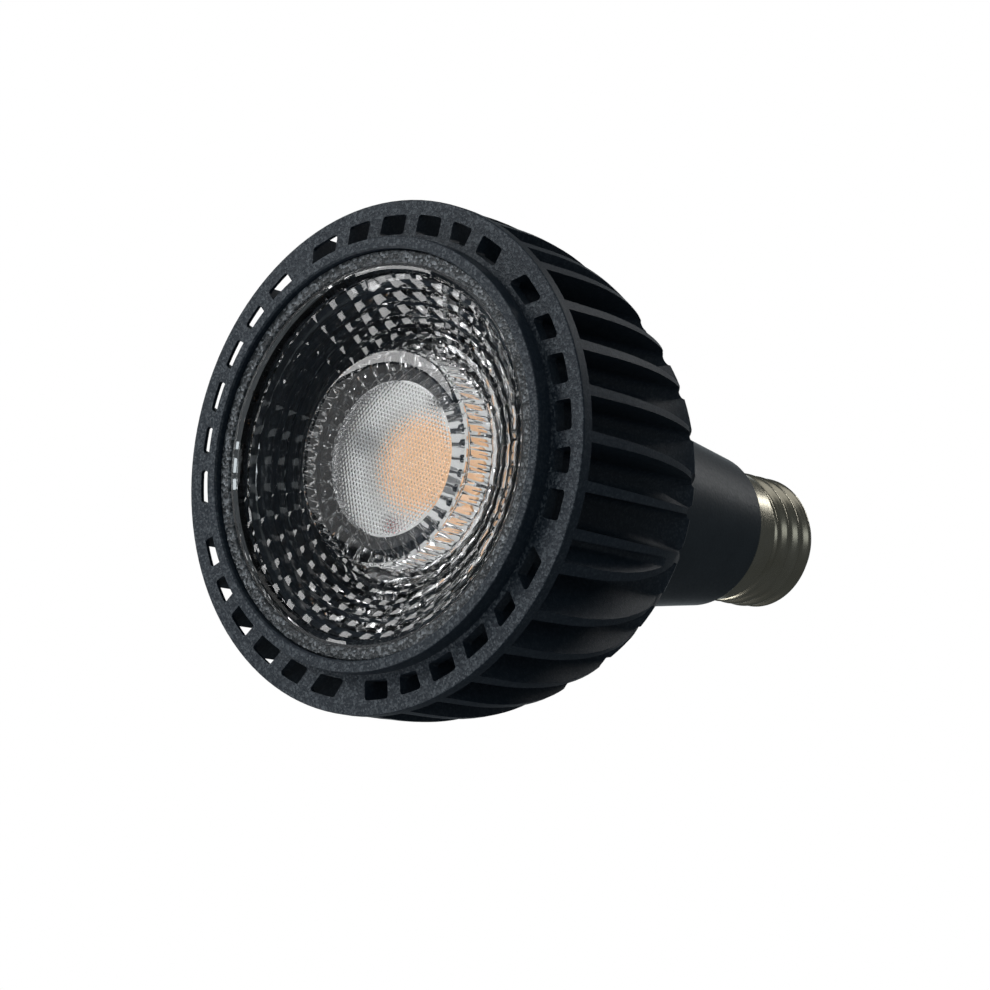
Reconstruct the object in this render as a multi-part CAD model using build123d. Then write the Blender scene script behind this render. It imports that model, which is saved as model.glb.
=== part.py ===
"""LED grow lamp, long-neck reflector shape, with a screw base.

Millimetres. The lamp stands on its head: Z = 0 is the front face of the bezel that
stands round the lens, +Z runs back along the lamp axis to the centre contact, and
+X passes through the middle of one of the five wide bridges of the slotted flange.
"""
from build123d import *
from math import asin, cos, degrees, hypot, radians, sin, sqrt, tan
import os

# Front of the heat sink, from the flange's edge inwards: rim, slots, land, bezel and lens seat
FLANGE_R = 47.5
RIM_W = 2.75
SLOT_DEPTH = 3.65
LAND_W = 1.0
BEZEL_W = 2.2
BEZEL_HEIGHT = 3.4
SEAT_DEPTH = 5.3
SEAT_LEAD_IN = 0.3
FLANGE_T = 2.5
FLANGE_REAR_BREAK = 0.2
EDGE_ROUND = 0.3
SLOT_CORNER = 0.6
SLOT_LIP_T = 0.8
SLOT_FLARE = 1.75
BRIDGE_W = 2.95
SLOT_OUT_R = FLANGE_R - RIM_W
SLOT_IN_R = SLOT_OUT_R - SLOT_DEPTH
BEZEL_R = SLOT_IN_R - LAND_W
SEAT_R = BEZEL_R - BEZEL_W
SLOT_MID_R = (SLOT_IN_R + SLOT_OUT_R) / 2

# Fins: in each of five equal sectors the fins lean as the side slide of the die pulls.
# Each pair is the bearing of a fin at the middle of the slots and at the rim, in degrees.
SECTORS = 5
SECTOR = 360 / SECTORS
FIN_BEARINGS = (
    (2.2, 5.4), (14.9, 17.2), (25.7, 27.4), (37.4, 38.0), (48.9, 48.2), (58.8, 59.0), (70.1, 69.4),
)
FIN_T = 2.0
FIN_DRAFT = 0.7
FIN_SETBACK = 0.3
FIN_STRAIGHT = 6.9
FIN_ROOT = 1.6
NARROW_GAP_ROOT = 0.45
NARROW_GAP_IN = 0.4
FLARE_BACK = 15.85
FLARE_RUN = 10.0
FLARE_RISE = 1.6
NOTCH_R = 1.6
NOTCH_DEPTH = 1.0
NOTCH_BACK = 5.35
NOTCH_L = 40.0
FIN_R = FLANGE_R - FIN_SETBACK

# Back of the heat sink: the fins' outline is a quarter ellipse that ends on a flat seat
BELL_LENGTH = 44.9
BELL_FOOT_R = 23.2
BELL_CUT = 1.85

# Cup and pedestal inside the heat sink
SEAT_LEDGE = 3.3
CUP_WALL_T = 3.4
CUP_DRAFT = 1.0
CUP_CORNER_H = 7.25
CUP_FLOOR_T = 3.6
CUP_CHAMFER = 5.6
PEDESTAL_TOP_R = 18.0
PEDESTAL_FOOT_R = 20.4
PEDESTAL_Z = 19.0
PEDESTAL_PLATE = 4.0
BORE_R = 14.6
WIRE_HOLE_R = 1.7
WIRE_HOLE_AT = 12.3
CUP_R = SEAT_R - SEAT_LEDGE
CUP_DRAFT_R = CUP_R - CUP_DRAFT
CORE_R = CUP_R + CUP_WALL_T

# Lens and its ring
FIT = 0.15
RING_W = 2.4
RING_FACE_Z = 1.2
RING_BREAK = 0.2
LENS_FLANGE_T = 2.0
LENS_EDGE_Z = 1.6
LENS_BORDER = 1.9
BOWL_Z = 3.2
BOWL_SLOPE = 0.606
BOWL_SIDES = 44
BOWL_ROWS = 6
BOWL_STEP = 0.35
LENS_T = 3.0
PUCK_R = 20.1
PUCK_Z = 4.1
PUCK_ROUND = 0.8
PUCK_FLUTES = 54
FLUTE_R = 0.6
MICRO_R = 14.5
MICRO_Z = 8.6
FOOT_Z = 15.5
FOOT_IN_R = 17.4
FOOT_OUT_R = 20.6
RING_IN_R = SEAT_R - RING_W
BOWL_R = RING_IN_R - LENS_BORDER

# Chip-on-board light source
PAD_T = 0.3
PAD_SIDE = 20.0
COB_SIDE = 19.0
COB_T = 1.4
PHOSPHOR_R = 8.7
PHOSPHOR_T = 0.6
HOLDER_R = 16.9
HOLDER_T = 3.2
HOLDER_WINDOW_R = 9.8
HOLDER_SCREW_AT = 13.2
SCREW_HEAD_R = 2.7
SCREW_HEAD_T = 1.5
SCREW_R = 1.45
HOLDER_SCREW_L = 3.2

# Driver housing: flange, trumpet, tapered neck and the nose inside the base
FIXING_EDGE = 3.2
HOUSING_FLANGE_T = 5.0
HOUSING_WALL = 2.0
NECK_ROOT_R = 19.8
NECK_ROOT_RUN = 7.0
NECK_END_R = 15.2
NECK_L = 44.95
NECK_ROUND = 1.2
SPIGOT_L = 6.0
NOSE_L = 8.0
FIXINGS = 3
FIXING_BEARING = 36.0
FIXING_L = 8.0
FIXING_AT = (PEDESTAL_FOOT_R + CUP_DRAFT_R - CUP_CHAMFER) / 2
HOUSING_FLANGE_R = FIXING_AT + FIXING_EDGE

# Screw base
SHELL_T = 0.35
COLLAR_R = 13.0
COLLAR_L = 5.1
THREAD_R = 13.15
THREAD_ROOT_R = 11.95
THREAD_PITCH = 3.629
THREAD_TURNS = 3.6
THREAD_LAND = 2.7
SHELL_L = 21.6
SHELL_END_R = 10.2
INSULATOR_L = 4.2
INSULATOR_FOOT_R = 6.0
CONTACT_R = 4.8
CONTACT_L = 2.4
CONTACT_STEM_L = 6.0

# Driver board and what stands on it
# each height is counted from the board's rear end, but for what stands near the chip
BOARD_W = 22.0
BOARD_T = 1.6
BOARD_L = 68.0
BOARD_IN_CUP = 27.85
LEAD_R = 0.7
LED_LEAD_BEND = 11.0
LED_LEAD_END = 17.0
BASE_LEAD_END = 4.0
OUTPUT_CAN_R, OUTPUT_CAN_L = 4.0, 13.0
OUTPUT_CAN_X, OUTPUT_CAN_Z = -5.6, 3.0
INPUT_CAN_R, INPUT_CAN_L = 4.8, 17.0
INPUT_CAN_X, INPUT_CAN_BACK = 0.5, 20.0
DIODE_SIZE = (6.8, 2.3, 5.8)
DIODE_X, DIODE_Z = 5.6, 10.0
CHIP_SIZE = (3.9, 1.5, 4.9)
CHIP_X, CHIP_BACK = 4.0, 43.0
FILM_SIZE = (10.0, 5.0, 7.2)
FILM_X, FILM_BACK = 0.0, 32.0
VARISTOR_R, VARISTOR_T = 3.5, 3.6
VARISTOR_X, VARISTOR_BACK = 6.5, 24.4
BRIDGE_SIZE = (4.7, 2.6, 4.0)
BRIDGE_X, BRIDGE_BACK = -5.5, 3.5
FUSE_R, FUSE_L = 1.6, 9.0
FUSE_X, FUSE_BACK = -8.2, 17.0
CHOKE_R, CHOKE_WAIST_R, CHOKE_H, CHOKE_FLANGE_T = 4.2, 3.6, 9.0, 1.0
CHOKE_X, CHOKE_BACK = 1.5, 12.0
CORE_LEG_W, CORE_WINDOW_W, CORE_WINDOW_H, CORE_T, CORE_YOKE_H = 4.4, 3.4, 9.6, 5.0, 2.2
CORE_STAND, CORE_BACK = 6.2, 26.5

FLANGE_Z = BEZEL_HEIGHT
FLANGE_BACK_Z = FLANGE_Z + FLANGE_T
BELL_Z = FLANGE_BACK_Z + FIN_STRAIGHT
BACK_Z = BELL_Z + BELL_LENGTH - BELL_CUT
CUP_FLOOR_Z = BACK_Z - CUP_FLOOR_T
NECK_END_Z = BACK_Z + NECK_L
BOARD_Z = BACK_Z - BOARD_IN_CUP
BOARD_END_Z = BOARD_Z + BOARD_L
SHELL_END_Z = NECK_END_Z + SHELL_L


def section(*parts):
    """A closed outline of edges, as (radius, height), turned once round the Z axis."""
    return revolve(Plane.XZ * make_face(Curve() + list(parts)), Axis.Z)


def turned(*points):
    """A solid of revolution from corner points (radius, height)."""
    return section(Polyline(*points, close=True))


def rounded_edge(radius, z):
    """The quarter round on an outer edge of the front, from its flat face to its wall."""
    back = EDGE_ROUND * (1 - sqrt(0.5))
    return ThreePointArc((radius - EDGE_ROUND, z), (radius - back, z + back), (radius, z + EDGE_ROUND))


def polar(radius, bearing):
    return (radius * cos(radians(bearing)), radius * sin(radians(bearing)))


def drum(radius, z0, z1, x=0.0, y=0.0):
    """An upright cylinder between two heights."""
    return Pos(x, y, z0) * Cylinder(radius, z1 - z0, align=(Align.CENTER, Align.CENTER, Align.MIN))


def brick(dx, dy, z0, z1, x=0.0, y=0.0):
    """An upright block between two heights."""
    return Pos(x, y, z0) * Box(dx, dy, z1 - z0, align=(Align.CENTER, Align.CENTER, Align.MIN))


def bell_radius(z):
    """Outer radius of the fins at a height on the quarter ellipse."""
    run = (z - BELL_Z) / BELL_LENGTH
    return BELL_FOOT_R + (FIN_R - BELL_FOOT_R) * sqrt(1 - run * run)


def fin_side(fin, side, offset):
    """Start point and direction of one face of a fin, in plan, offset from its middle plane."""
    inner = Vector(*polar(SLOT_MID_R, fin[0]))
    outer = Vector(*polar(FLANGE_R, fin[1]))
    along = (outer - inner).normalized()
    across = Vector(-along.Y, along.X, 0)
    return inner + across * (side * offset), along


def on_circle(start, along, radius):
    """Where the outward line from a start point crosses a circle about the axis."""
    b = start.dot(along)
    return start + along * (-b + sqrt(b * b - start.dot(start) + radius * radius))


def plan_between(fin_a, fin_b, offset, inner_r, outer_r, corner, round_all):
    """The plan of a gap between two fins, from an inner to an outer radius, corners rounded."""
    start_a, along_a = fin_side(fin_a, 1, offset)
    start_b, along_b = fin_side(fin_b, -1, offset)
    a_in, a_out = on_circle(start_a, along_a, inner_r), on_circle(start_a, along_a, outer_r)
    b_in, b_out = on_circle(start_b, along_b, inner_r), on_circle(start_b, along_b, outer_r)
    middle_in = (a_in + b_in).normalized() * inner_r
    middle_out = (a_out + b_out).normalized() * outer_r
    outline = make_face(Curve() + [
        ThreePointArc(a_in, middle_in, b_in), Line(b_in, b_out),
        ThreePointArc(b_out, middle_out, a_out), Line(a_out, a_in),
    ])
    corners = outline.vertices()
    if not round_all:
        corners = corners.filter_by(lambda v: hypot(v.X, v.Y) < (inner_r + outer_r) / 2)
    return fillet(corners, corner)


def fin_pairs():
    """Neighbouring fins of one sector; the last pair closes the wide bridge to the next sector."""
    first = FIN_BEARINGS[0]
    beyond = FIN_BEARINGS + ((first[0] + SECTOR, first[1] + SECTOR),)
    return list(zip(beyond[:-1], beyond[1:]))


def round_the_lamp(shapes):
    """The shapes of one sector repeated in all sectors."""
    return [Rot(0, 0, SECTOR * n) * shape for n in range(SECTORS) for shape in shapes]


def gap_flare():
    """The core behind the gaps, whose wall sweeps outward until each gap runs out on the bell."""
    draft = tan(radians(FIN_DRAFT))
    start_z = BACK_Z - FLARE_BACK
    start = (CORE_R - (start_z - FLANGE_BACK_Z) * draft, start_z)
    end = (start[0] + FLARE_RISE, start_z + FLARE_RUN)
    behind = BACK_Z + 2
    return section(
        Line((0, start_z), start),
        TangentArc(start, end, tangent=(-draft, 1)),
        Polyline(end, (end[0] + FLARE_RISE, behind), (0, behind), (0, start_z)),
    )


def fin_notches():
    """Round cutters that thin the end of each fin between the rounded ends of its two gaps."""
    notch_z = BACK_Z - NOTCH_BACK
    run = (notch_z - BELL_Z) / BELL_LENGTH
    radius = bell_radius(notch_z)
    fall = (FIN_R - BELL_FOOT_R) / BELL_LENGTH * run / sqrt(1 - run * run)
    first, last = FIN_BEARINGS[0], FIN_BEARINGS[-1]
    double_fin = tuple((before - SECTOR + after) / 2 for before, after in zip(last, first))
    cutters = []
    for fin in (double_fin,) + FIN_BEARINGS[1:-1]:
        start, along = fin_side(fin, 1, 0)
        slope = (Vector(0, 0, 1) - along * fall).normalized()
        outward = (along + Vector(0, 0, fall)).normalized()
        middle = on_circle(start, along, radius) + Vector(0, 0, notch_z)
        centre = middle + outward * (NOTCH_R - NOTCH_DEPTH)
        cutters.append(Plane(origin=centre, z_dir=slope) * Cylinder(NOTCH_R, NOTCH_L))
    return round_the_lamp(cutters)


def fin_gaps():
    """Cutters for the gaps between fins, with rounded roots and draft towards the back."""
    cutters = []
    clear_r = FLANGE_R + 3
    depth = BACK_Z - FLANGE_BACK_Z + 1
    flare = gap_flare()
    for pair, (fin_a, fin_b) in enumerate(fin_pairs()):
        wide_bridge = pair == len(FIN_BEARINGS) - 1
        inner_r = SLOT_MID_R + NARROW_GAP_IN if wide_bridge else CORE_R
        corner = NARROW_GAP_ROOT if wide_bridge else FIN_ROOT
        plan = plan_between(fin_a, fin_b, FIN_T / 2, inner_r, clear_r, corner, False)
        cutters.append(extrude(Pos(0, 0, FLANGE_BACK_Z) * plan, depth, taper=-FIN_DRAFT) - flare)
    return round_the_lamp(cutters)


def flange_slots():
    """Vents in the flange, one in each gap but the narrow one; behind a thin lip they open outward."""
    lip_z = FLANGE_Z + SLOT_LIP_T
    behind = FLANGE_BACK_Z + 1
    flare_r = SLOT_OUT_R + SLOT_FLARE
    funnel = turned(
        (0, lip_z), (SLOT_OUT_R, lip_z), (flare_r, FLANGE_BACK_Z), (flare_r, behind), (0, behind),
    )
    cutters = []
    for fin_a, fin_b in fin_pairs()[:-1]:
        vent = plan_between(fin_a, fin_b, BRIDGE_W / 2, SLOT_IN_R, SLOT_OUT_R, SLOT_CORNER, True)
        wide = plan_between(fin_a, fin_b, BRIDGE_W / 2, SLOT_IN_R, FLANGE_R, SLOT_CORNER, False)
        cutters.append(extrude(Pos(0, 0, FLANGE_Z - 1) * vent, FLANGE_T + 2))
        cutters.append(extrude(Pos(0, 0, lip_z) * wide, behind - lip_z) & funnel)
    return round_the_lamp(cutters)


def heat_sink():
    """The die-cast body: bezel, slotted flange, fins, cup and the pedestal under the chip."""
    end_angle = degrees(asin((BACK_Z - BELL_Z) / BELL_LENGTH))
    flange_rear = (FIN_R + FLANGE_REAR_BREAK / 2, FLANGE_BACK_Z)
    blank = section(
        Line((0, 0), (BEZEL_R - EDGE_ROUND, 0)),
        rounded_edge(BEZEL_R, 0),
        Polyline(
            (BEZEL_R, EDGE_ROUND), (BEZEL_R, FLANGE_Z), (FLANGE_R - EDGE_ROUND, FLANGE_Z),
        ),
        rounded_edge(FLANGE_R, FLANGE_Z),
        Polyline(
            (FLANGE_R, FLANGE_Z + EDGE_ROUND), (FLANGE_R, FLANGE_BACK_Z - FLANGE_REAR_BREAK),
            flange_rear, (FIN_R, BELL_Z),
        ),
        EllipticalCenterArc(
            (BELL_FOOT_R, BELL_Z), FIN_R - BELL_FOOT_R, BELL_LENGTH, 0, arc_size=end_angle,
        ),
        Polyline((bell_radius(BACK_Z), BACK_Z), (0, BACK_Z), (0, 0)),
    )
    blank -= fin_gaps()
    blank -= flange_slots()
    blank -= fin_notches()
    cup = turned(
        (0, -1), (SEAT_R + SEAT_LEAD_IN + 1, -1), (SEAT_R, SEAT_LEAD_IN), (SEAT_R, SEAT_DEPTH),
        (CUP_R, SEAT_DEPTH), (CUP_DRAFT_R, CUP_FLOOR_Z - CUP_CORNER_H),
        (CUP_DRAFT_R - CUP_CHAMFER, CUP_FLOOR_Z), (PEDESTAL_FOOT_R, CUP_FLOOR_Z),
        (PEDESTAL_TOP_R, PEDESTAL_Z), (0, PEDESTAL_Z),
    )
    bore = drum(BORE_R, PEDESTAL_Z + PEDESTAL_PLATE, BACK_Z + 1)
    holes = [
        drum(WIRE_HOLE_R, PEDESTAL_Z - 1, PEDESTAL_Z + PEDESTAL_PLATE + 1, 0, side * WIRE_HOLE_AT)
        for side in (-1, 1)
    ]
    holes += [
        drum(SCREW_R, PEDESTAL_Z - 1, PEDESTAL_Z + HOLDER_SCREW_L, side * HOLDER_SCREW_AT, 0)
        for side in (-1, 1)
    ]
    for bearing in fixing_bearings():
        centre = polar(FIXING_AT, bearing)
        holes.append(drum(SCREW_R + FIT, CUP_FLOOR_Z - 1, BACK_Z + 1, *centre))
        holes.append(drum(SCREW_HEAD_R + FIT, CUP_FLOOR_Z - 2 * SCREW_HEAD_T, CUP_FLOOR_Z, *centre))
    return blank - cup - bore - holes


def fixing_bearings():
    return [360 / FIXINGS * n + FIXING_BEARING for n in range(FIXINGS)]


def lens_ring():
    """The textured ring that holds the lens in its seat."""
    back = SEAT_DEPTH - LENS_FLANGE_T
    outer_r = SEAT_R - FIT
    edge_z = RING_FACE_Z + RING_BREAK
    return turned(
        (RING_IN_R, edge_z), (RING_IN_R + RING_BREAK, RING_FACE_Z),
        (outer_r - RING_BREAK, RING_FACE_Z), (outer_r, edge_z), (outer_r, back), (RING_IN_R, back),
    )


def bowl_rows():
    """Corner circles of the facet rows, as (radius, height), each row ending in a small riser."""
    rows = []
    pitch = (BOWL_R - PUCK_R) / BOWL_ROWS
    for row in range(BOWL_ROWS + 1):
        radius = BOWL_R - pitch * row
        z = BOWL_Z + pitch * row * BOWL_SLOPE
        if 0 < row < BOWL_ROWS:
            rows.append((radius, z - BOWL_STEP))
        rows.append((radius, z))
    return rows


def facet_ring(radius, z):
    """One polygon of the faceted bowl, with its flats towards the sectors."""
    return Pos(0, 0, z) * RegularPolygon(radius, BOWL_SIDES)


def front_lens():
    """One clear moulding: flange, faceted bowl, and a fluted puck over the light source."""
    edge_r = RING_IN_R - FIT
    flange_r = SEAT_R - FIT
    flange_z = SEAT_DEPTH - LENS_FLANGE_T
    skirt_r = CUP_R - 2 * FIT
    bowl_back = BOWL_Z + (BOWL_R - FOOT_OUT_R) * BOWL_SLOPE + LENS_T
    body = turned(
        (0, LENS_EDGE_Z), (edge_r, LENS_EDGE_Z), (edge_r, flange_z), (flange_r, flange_z),
        (flange_r, SEAT_DEPTH), (skirt_r, SEAT_DEPTH),
        (skirt_r, BOWL_Z + (BOWL_R - skirt_r) * BOWL_SLOPE + LENS_T), (FOOT_OUT_R, bowl_back),
        (FOOT_OUT_R, FOOT_Z), (0, FOOT_Z),
    )
    rows = bowl_rows()
    bowl = loft([facet_ring(radius, z) for radius, z in rows], ruled=True)
    slope = turned((0, LENS_EDGE_Z), (edge_r, LENS_EDGE_Z), (BOWL_R - 0.05, BOWL_Z + 0.05), (0, BOWL_Z + 0.05))
    body = body - slope - bowl
    puck_z = rows[-1][1] + 0.5
    puck = fillet(drum(PUCK_R, PUCK_Z, puck_z).edges().group_by(Axis.Z)[0], PUCK_ROUND)
    flutes = [
        drum(FLUTE_R, PUCK_Z + PUCK_ROUND, puck_z, *polar(PUCK_R + 0.2, 360 / PUCK_FLUTES * n))
        for n in range(PUCK_FLUTES)
    ]
    cavity = turned((0, MICRO_Z), (MICRO_R, MICRO_Z), (FOOT_IN_R, FOOT_Z + 1), (0, FOOT_Z + 1))
    return body + (puck - flutes) - cavity


def cob_levels():
    """Heights of the light source on the pedestal: pad, board front and phosphor front."""
    pad = PEDESTAL_Z - PAD_T
    board = pad - COB_T
    return pad, board, board - PHOSPHOR_T


def thermal_pad():
    return brick(PAD_SIDE, PAD_SIDE, cob_levels()[0], PEDESTAL_Z)


def cob_board():
    pad, board, _ = cob_levels()
    return brick(COB_SIDE, COB_SIDE, board, pad)


def cob_phosphor():
    _, board, phosphor = cob_levels()
    dome = drum(PHOSPHOR_R, phosphor, board)
    return fillet(dome.edges().group_by(Axis.Z)[0], 0.25)


def cob_holder():
    """The white moulded frame that clamps the chip board and carries its two contacts."""
    front = PEDESTAL_Z - HOLDER_T
    _, board, _ = cob_levels()
    body = drum(HOLDER_R, front, PEDESTAL_Z)
    window = turned(
        (0, front - 1), (HOLDER_WINDOW_R + 1.6, front - 0.01), (HOLDER_WINDOW_R - 0.6, board), (0, board),
    )
    pocket_side = PAD_SIDE + 2 * FIT
    pocket = brick(pocket_side, pocket_side, board, PEDESTAL_Z + 1)
    heads = [drum(SCREW_HEAD_R + FIT, front - 1, front + SCREW_HEAD_T, s * HOLDER_SCREW_AT, 0) for s in (-1, 1)]
    holes = [drum(SCREW_R + FIT, front - 1, PEDESTAL_Z + 1, s * HOLDER_SCREW_AT, 0) for s in (-1, 1)]
    wires = [drum(WIRE_HOLE_R, front - 1, PEDESTAL_Z + 1, 0, s * WIRE_HOLE_AT) for s in (-1, 1)]
    return body - window - pocket - heads - holes - wires


def pan_screw(length, head_z, x, y):
    """A pan-head screw with a cross recess, its head towards the front."""
    head = fillet(
        drum(SCREW_HEAD_R, head_z, head_z + SCREW_HEAD_T, x, y).edges().group_by(Axis.Z)[0], 0.6,
    )
    cross = brick(3.0, 0.7, head_z - 1, head_z + 0.8, x, y) + brick(0.7, 3.0, head_z - 1, head_z + 0.8, x, y)
    return head + drum(SCREW_R, head_z + SCREW_HEAD_T, head_z + SCREW_HEAD_T + length, x, y) - cross


def holder_screws():
    front = PEDESTAL_Z - HOLDER_T
    length = HOLDER_T - SCREW_HEAD_T + HOLDER_SCREW_L
    return [pan_screw(length, front, side * HOLDER_SCREW_AT, 0) for side in (-1, 1)]


def housing_screws():
    head_z = CUP_FLOOR_Z - SCREW_HEAD_T
    return [pan_screw(FIXING_L, head_z, *polar(FIXING_AT, bearing)) for bearing in fixing_bearings()]


def neck_radius(z):
    """Outer radius of the straight tapered neck."""
    root_z = BACK_Z + HOUSING_FLANGE_T + NECK_ROOT_RUN
    return NECK_ROOT_R + (NECK_END_R - NECK_ROOT_R) * (z - root_z) / (NECK_END_Z - root_z)


def driver_housing():
    """The plastic neck: a flange screwed to the heat sink, a trumpet, a taper and a nose."""
    flange_z = BACK_Z + HOUSING_FLANGE_T
    root_z = flange_z + NECK_ROOT_RUN
    bend = (NECK_ROOT_R + (HOUSING_FLANGE_R - 1 - NECK_ROOT_R) * 0.22, flange_z + NECK_ROOT_RUN * 0.32)
    nose_r = THREAD_ROOT_R - SHELL_T - FIT
    spigot_r = BORE_R - FIT
    outside = section(
        Polyline(
            (0, BACK_Z - SPIGOT_L), (spigot_r, BACK_Z - SPIGOT_L), (spigot_r, BACK_Z),
            (HOUSING_FLANGE_R, BACK_Z), (HOUSING_FLANGE_R, flange_z - 1), (HOUSING_FLANGE_R - 1, flange_z),
        ),
        ThreePointArc((HOUSING_FLANGE_R - 1, flange_z), bend, (NECK_ROOT_R, root_z)),
        Polyline(
            (NECK_ROOT_R, root_z), (NECK_END_R, NECK_END_Z - NECK_ROUND),
            (NECK_END_R - NECK_ROUND * 0.35, NECK_END_Z - NECK_ROUND * 0.3),
            (NECK_END_R - NECK_ROUND, NECK_END_Z),
            (nose_r, NECK_END_Z), (nose_r, NECK_END_Z + NOSE_L), (0, NECK_END_Z + NOSE_L),
            (0, BACK_Z - SPIGOT_L),
        ),
    )
    inside = turned(
        (0, BACK_Z - SPIGOT_L - 1), (spigot_r - HOUSING_WALL, BACK_Z - SPIGOT_L - 1),
        (spigot_r - HOUSING_WALL, BACK_Z + 2), (neck_radius(root_z) - HOUSING_WALL, root_z - 4),
        (NECK_END_R - HOUSING_WALL - 0.4, NECK_END_Z - 3), (nose_r - HOUSING_WALL, NECK_END_Z),
        (nose_r - HOUSING_WALL, NECK_END_Z + NOSE_L + 1), (0, NECK_END_Z + NOSE_L + 1),
    )
    rail_z0, rail_z1 = root_z + 2, BOARD_END_Z + 0.8
    rails = brick(4 * NECK_ROOT_R, BOARD_T + 3.2, rail_z0, rail_z1) - brick(
        BOARD_W - 1.6, BOARD_T + 4, rail_z0 - 1, rail_z1 + 1)
    groove = brick(BOARD_W + 2 * FIT, BOARD_T + 2 * FIT, rail_z0 - 1, BOARD_END_Z + FIT)
    rails = (rails & inside) - groove
    depth = FIXING_L - CUP_FLOOR_T
    pilots = [drum(SCREW_R, BACK_Z - 1, BACK_Z + depth, *polar(FIXING_AT, b)) for b in fixing_bearings()]
    return outside - inside - pilots + rails


def screw_shell():
    """The rolled base shell: plain collar, rounded screw thread and a curled-in end."""
    root = THREAD_ROOT_R
    collar_z = NECK_END_Z + COLLAR_L
    curl_z = SHELL_END_Z - 2.0
    tube = turned(
        (COLLAR_R - SHELL_T, NECK_END_Z), (COLLAR_R, NECK_END_Z), (COLLAR_R, collar_z),
        (root, collar_z + 0.9), (root, curl_z), (root - 0.5, SHELL_END_Z - 0.7), (SHELL_END_R, SHELL_END_Z),
        (SHELL_END_R - SHELL_T, SHELL_END_Z - SHELL_T), (root - SHELL_T - 0.4, SHELL_END_Z - 1.2),
        (root - SHELL_T, curl_z), (root - SHELL_T, collar_z), (COLLAR_R - SHELL_T, collar_z - 1.0),
    )
    start_z = collar_z + 0.2
    helix = Pos(0, 0, start_z) * Helix(THREAD_PITCH, THREAD_PITCH * THREAD_TURNS, root)
    half = THREAD_LAND / 2
    rise = THREAD_R - root
    plan = Plane(origin=helix @ 0, x_dir=(1, 0, 0), z_dir=helix % 0)
    sink = SHELL_T * 0.6
    ridge_face = plan * make_face(Curve() + [
        Polyline((0, -half), (-sink, -half), (-sink, half), (0, half)),
        Spline((0, half), (rise * 0.72, half * 0.55), (rise, 0), (rise * 0.72, -half * 0.55), (0, -half)),
    ])
    ridge = sweep(ridge_face, path=helix, is_frenet=True)
    limit = turned(
        (0, collar_z - 1), (THREAD_R + 1, collar_z - 1), (THREAD_R + 1, curl_z - 0.6),
        (root - 0.2, SHELL_END_Z - 0.6), (0, SHELL_END_Z - 0.6),
    )
    return tube + (ridge & limit)


def base_insulator():
    """The black glass between shell and centre contact."""
    inner = SHELL_END_R - SHELL_T
    z0 = SHELL_END_Z
    return turned(
        (CONTACT_R - 1, z0 - 2.0), (inner - FIT, z0 - 2.0), (inner - FIT, z0), (SHELL_END_R - 0.3, z0 + 0.05),
        (INSULATOR_FOOT_R + 1.6, z0 + INSULATOR_L * 0.62), (INSULATOR_FOOT_R, z0 + INSULATOR_L),
        (CONTACT_R - 1, z0 + INSULATOR_L),
    )


def centre_contact():
    """The brass eyelet in the middle of the base, with its solder dome."""
    z0 = SHELL_END_Z + INSULATOR_L
    stem_r = CONTACT_R - 1 - FIT
    rim_z = z0 + CONTACT_L * 0.3
    rise = z0 + CONTACT_L - rim_z
    sphere_r = (CONTACT_R ** 2 + rise ** 2) / (2 * rise)
    half_r = CONTACT_R / 2
    half_z = z0 + CONTACT_L - sphere_r + sqrt(sphere_r ** 2 - half_r ** 2)
    return section(
        Polyline(
            (0, z0 - CONTACT_STEM_L), (stem_r, z0 - CONTACT_STEM_L), (stem_r, z0), (CONTACT_R, z0),
            (CONTACT_R, rim_z),
        ),
        ThreePointArc((CONTACT_R, rim_z), (half_r, half_z), (0, z0 + CONTACT_L)),
        Line((0, z0 + CONTACT_L), (0, z0 - CONTACT_STEM_L)),
    )


def driver_board():
    return brick(BOARD_W, BOARD_T, BOARD_Z, BOARD_END_Z)


def on_board(side, depth):
    """The Y of the middle of something of a given depth that stands on one face of the board."""
    return side * (BOARD_T / 2 + depth / 2)


def can_along(radius, length, side, x, z):
    """A round can that lies on the board, along the lamp axis, from a lower height."""
    return drum(radius, z, z + length, x, on_board(side, 2 * radius))


def can_up(radius, height, side, x, z):
    """A round component that stands up from the board."""
    return Pos(x, on_board(side, height), z) * Rot(90, 0, 0) * Cylinder(radius, height)


def chip(width, depth, length, side, x, z):
    """A block-shaped component on one face of the board, centred on a height."""
    return brick(width, depth, z - length / 2, z + length / 2, x, on_board(side, depth))


def output_capacitor():
    can = can_along(OUTPUT_CAN_R, OUTPUT_CAN_L, 1, OUTPUT_CAN_X, BOARD_Z + OUTPUT_CAN_Z)
    return fillet(can.edges(), 0.5)


def input_capacitor():
    can = can_along(INPUT_CAN_R, INPUT_CAN_L, -1, INPUT_CAN_X, BOARD_END_Z - INPUT_CAN_BACK)
    return fillet(can.edges(), 0.6)


def output_diode():
    return chip(*DIODE_SIZE, -1, DIODE_X, BOARD_Z + DIODE_Z)


def control_chip():
    return chip(*CHIP_SIZE, -1, CHIP_X, BOARD_END_Z - CHIP_BACK)


def film_capacitor():
    block = chip(*FILM_SIZE, -1, FILM_X, BOARD_END_Z - FILM_BACK)
    return fillet(block.edges().filter_by(Axis.Y), 0.8)


def varistor():
    return can_up(VARISTOR_R, VARISTOR_T, -1, VARISTOR_X, BOARD_END_Z - VARISTOR_BACK)


def bridge_rectifier():
    return chip(*BRIDGE_SIZE, 1, BRIDGE_X, BOARD_END_Z - BRIDGE_BACK)


def fuse_resistor():
    return fillet(can_along(FUSE_R, FUSE_L, 1, FUSE_X, BOARD_END_Z - FUSE_BACK).edges(), 0.5)


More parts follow.
